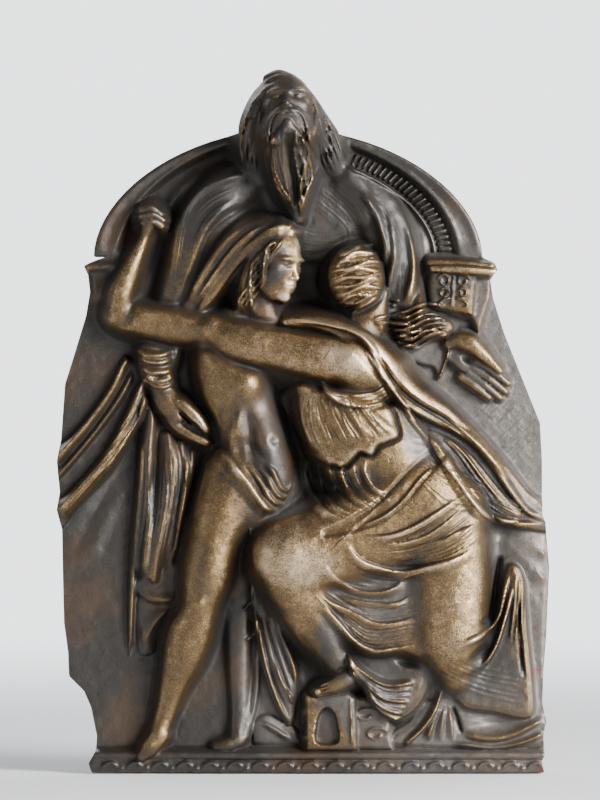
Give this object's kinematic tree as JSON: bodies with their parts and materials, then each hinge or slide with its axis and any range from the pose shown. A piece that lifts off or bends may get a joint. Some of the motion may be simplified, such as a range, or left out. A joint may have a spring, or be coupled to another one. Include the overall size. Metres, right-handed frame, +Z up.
{
  "type": "relief plaque",
  "caption": "Cast bronze wall plaque with an arched top: a bearded figure leans over two embracing draped women in high relief.",
  "frame": {"origin": "on the flat band of the back, on the centre line, 5 mm above the foot", "axes": "+Y out of the back into the wall, so the carved face looks along -Y; +Z up; +X to the viewer's right"},
  "size_m": [0.1685, 0.0377, 0.2402],
  "materials": {
    "patinated_bronze": "dark brown patina, rubbed to gold on the high points"
  },
  "bodies": {
    "root": {"relief_plaque": "patinated_bronze"}
  },
  "joints": []
}
